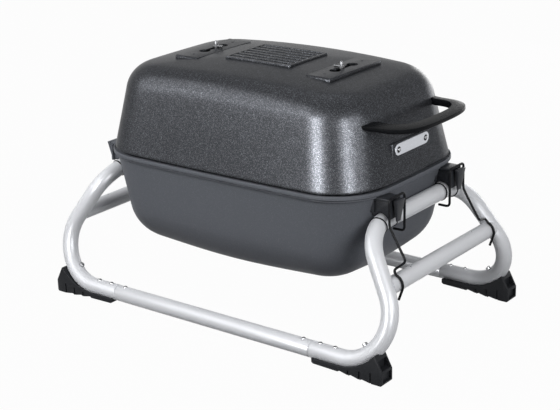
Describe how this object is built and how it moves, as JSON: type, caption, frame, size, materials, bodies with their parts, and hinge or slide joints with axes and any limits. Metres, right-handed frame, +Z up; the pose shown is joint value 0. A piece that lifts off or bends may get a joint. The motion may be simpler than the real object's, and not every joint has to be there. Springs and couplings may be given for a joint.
{
  "type": "portable tabletop grill",
  "caption": "Portable charcoal grill: a rounded cast tub with hinged lid, sliding vents, end handle and wire latches, carried by lugs on a bent-tube stand with moulded feet.",
  "frame": {"origin": "on the ground under the middle of the stand", "axes": "+X to the handle end, +Y to the back, +Z up"},
  "size_m": [0.6462, 0.3894, 0.4023],
  "materials": {
    "stand_tube": "satin silver-grey powder coat",
    "lid_coat": "graphite powder coat with a fine metallic fleck",
    "tub_coat": "slate-grey satin powder coat",
    "foot_plastic": "black moulded, fine matt",
    "handle_black": "black satin",
    "latch_wire": "black satin",
    "screw_steel": "plated",
    "badge_metal": "satin, blank",
    "grate_iron": "seasoned",
    "damper_metal": "plain",
    "sleeve_metal": "plain"
  },
  "bodies": {
    "stand": {"hoop_right": "stand_tube", "hoop_left": "stand_tube", "crossbar_right": "stand_tube", "crossbar_left": "stand_tube", "rail_front": "stand_tube", "rail_back": "stand_tube", "rail_couplers": "sleeve_metal", "rail_screws": "screw_steel", "lug_collars": "stand_tube", "foot_front_right": "foot_plastic", "foot_front_left": "foot_plastic", "foot_back_right": "foot_plastic", "foot_back_left": "foot_plastic", "foot_screws": "screw_steel", "foot_bolts": "screw_steel", "tub_casting": "tub_coat", "hinge_pin_front": "screw_steel", "hinge_pin_back": "screw_steel", "charcoal_grate": "grate_iron", "cooking_grate": "grate_iron"},
    "lid": {"lid_casting": "lid_coat", "lid_handle": "handle_black", "handle_screws": "screw_steel", "badge_plate": "badge_metal", "badge_screws": "screw_steel"},
    "right_lid_damper": {"lid_damper_right": "damper_metal", "lid_stud_right": "screw_steel", "lid_nut_right": "screw_steel"},
    "left_lid_damper": {"lid_damper_left": "damper_metal", "lid_stud_left": "screw_steel", "lid_nut_left": "screw_steel"},
    "right_tub_damper": {"tub_damper_right": "damper_metal", "tub_stud_right": "screw_steel"},
    "left_tub_damper": {"tub_damper_left": "damper_metal", "tub_stud_left": "screw_steel"},
    "front_right_latch": {"latch_front_right": "latch_wire"},
    "back_right_latch": {"latch_back_right": "latch_wire"}
  },
  "joints": [
    {"name": "lid_hinge", "type": "hinge", "parent": "stand", "child": "lid", "pos_m": [-0.264, 0, 0.25], "axis": [0, -1, 0], "range_deg": [0, 100]},
    {"name": "right_lid_damper_slide", "type": "slide", "parent": "lid", "child": "right_lid_damper", "axis": [0, 1, 0], "range_m": [-0.0082, 0.0198]},
    {"name": "left_lid_damper_slide", "type": "slide", "parent": "lid", "child": "left_lid_damper", "axis": [0, 1, 0], "range_m": [-0.0198, 0.0082]},
    {"name": "right_tub_damper_slide", "type": "slide", "parent": "stand", "child": "right_tub_damper", "axis": [0, 1, 0], "range_m": [-0.014, 0.014]},
    {"name": "left_tub_damper_slide", "type": "slide", "parent": "stand", "child": "left_tub_damper", "axis": [0, 1, 0], "range_m": [-0.014, 0.014]},
    {"name": "front_right_latch_pivot", "type": "hinge", "parent": "stand", "child": "front_right_latch", "pos_m": [0.29612, -0.129, 0.12768], "axis": [0, 1, 0], "range_deg": [0, 105]},
    {"name": "back_right_latch_pivot", "type": "hinge", "parent": "stand", "child": "back_right_latch", "pos_m": [0.29612, 0.129, 0.12768], "axis": [0, 1, 0], "range_deg": [0, 105]}
  ]
}
